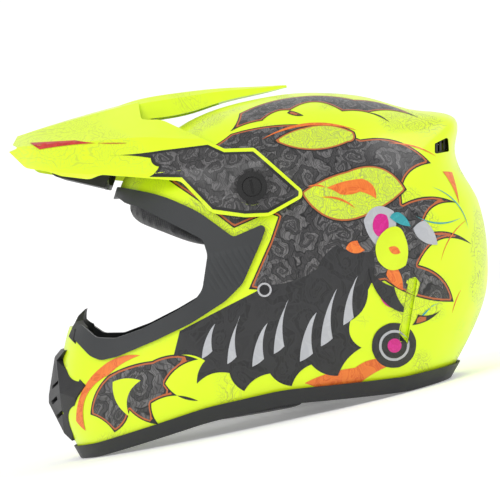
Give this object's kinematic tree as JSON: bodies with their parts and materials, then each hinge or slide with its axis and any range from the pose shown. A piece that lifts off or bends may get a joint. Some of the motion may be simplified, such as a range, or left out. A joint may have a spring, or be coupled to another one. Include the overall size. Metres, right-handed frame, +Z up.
{
  "type": "motocross helmet",
  "caption": "Full-face off-road helmet: moulded shell with open eye port, tilting sun peak, chin vent, foam and fabric lining, and a chin strap with two rings.",
  "frame": {"origin": "under the middle of the helmet's length and width, on the surface that it stands on", "axes": "+Z up; the wearer looks along -Y, so +Y points to the back of the head; +X to the wearer's left"},
  "size_m": [0.2556, 0.3703, 0.2691],
  "materials": {
    "shell_paint": "fluorescent yellow-lime clear-coated paint with printed graphics over a moulded shell",
    "peak_paint": "fluorescent yellow-lime moulded peak with dark printed sides",
    "black_rubber": "satin black moulded rubber",
    "black_plastic": "matt black moulded plastic, fine grain",
    "gloss_black": "gloss black moulded plastic",
    "foam": "expanded bead foam, black",
    "liner_fabric": "brushed knit over soft foam",
    "webbing": "woven nylon webbing, black",
    "steel": "zinc plated steel",
    "chrome": "polished chrome",
    "brass": "turned brass"
  },
  "bodies": {
    "helmet": {"outer_shell": "shell_paint", "eyeport_gasket": "black_rubber", "base_trim": "black_rubber", "nose_guard": "black_plastic", "chin_vent_cover": "black_plastic", "chin_vent_mesh": "black_plastic", "rear_vent_grille_left": "black_plastic", "rear_vent_grille_right": "black_plastic", "side_vent_louver_left": "shell_paint", "side_vent_louver_right": "shell_paint", "forehead_vent_grille": "black_plastic", "crown_foam": "foam", "crown_liner": "liner_fabric", "brow_pad": "liner_fabric", "cheek_foam_left": "foam", "cheek_foam_right": "foam", "cheek_pad_left": "liner_fabric", "cheek_pad_right": "liner_fabric", "cheek_snaps_left": "black_plastic", "cheek_snaps_right": "black_plastic", "chin_foam": "foam", "neck_roll": "liner_fabric", "peak_insert_left": "brass", "peak_insert_right": "brass", "peak_centre_insert": "brass", "strap_rivet_left": "chrome", "strap_rivet_right": "chrome", "rivet_washer_left": "steel", "rivet_washer_right": "steel", "strap_anchor_left": "webbing", "strap_anchor_right": "webbing"},
    "peak": {"peak": "peak_paint", "peak_air_duct": "black_plastic", "peak_washer_left": "gloss_black", "peak_washer_right": "gloss_black"},
    "screw_left": {"peak_screw_left": "gloss_black"},
    "screw_right": {"peak_screw_right": "gloss_black"},
    "screw_centre": {"peak_centre_screw": "gloss_black"},
    "strap_left": {"strap_tail_left": "webbing", "strap_pad_left": "liner_fabric"},
    "strap_right": {"strap_tail_right": "webbing", "strap_pad_right": "liner_fabric", "strap_snap_cap": "black_plastic", "strap_snap_stud": "steel"},
    "ring_outer": {"d_ring_outer": "steel"},
    "ring_inner": {"d_ring_inner": "steel"}
  },
  "joints": [
    {"name": "peak_tilt", "type": "hinge", "parent": "helmet", "child": "peak", "pos_m": [0, 0.011, 0.179], "axis": [-1, 0, 0], "range_deg": [-3, 5]},
    {"name": "side_screw_left_turn", "type": "hinge", "parent": "helmet", "child": "screw_left", "pos_m": [0.12, 0.011, 0.179], "axis": [1, 0, 0], "range_deg": [0, 180]},
    {"name": "side_screw_right_turn", "type": "hinge", "parent": "helmet", "child": "screw_right", "pos_m": [-0.12, 0.011, 0.179], "axis": [-1, 0, 0], "range_deg": [0, 180]},
    {"name": "centre_screw_turn", "type": "hinge", "parent": "helmet", "child": "screw_centre", "pos_m": [0, -0.06349, 0.24375], "axis": [0, -0.7547, 0.6561], "range_deg": [0, 180]},
    {"name": "strap_left_swing", "type": "hinge", "parent": "helmet", "child": "strap_left", "pos_m": [0.06, 0.0035, 0.035], "axis": [0, 1, 0], "range_deg": [0, 70]},
    {"name": "strap_right_swing", "type": "hinge", "parent": "helmet", "child": "strap_right", "pos_m": [-0.06, 0.0035, 0.035], "axis": [0, -1, 0], "range_deg": [0, 70]},
    {"name": "outer_ring_swing", "type": "hinge", "parent": "strap_left", "child": "ring_outer", "pos_m": [0.02803, 0.0035, 0.02076], "axis": [0, 1, 0], "range_deg": [0, 60]},
    {"name": "inner_ring_swing", "type": "hinge", "parent": "strap_left", "child": "ring_inner", "pos_m": [0.02437, 0.0035, 0.01914], "axis": [0, 1, 0], "range_deg": [0, 8]}
  ]
}
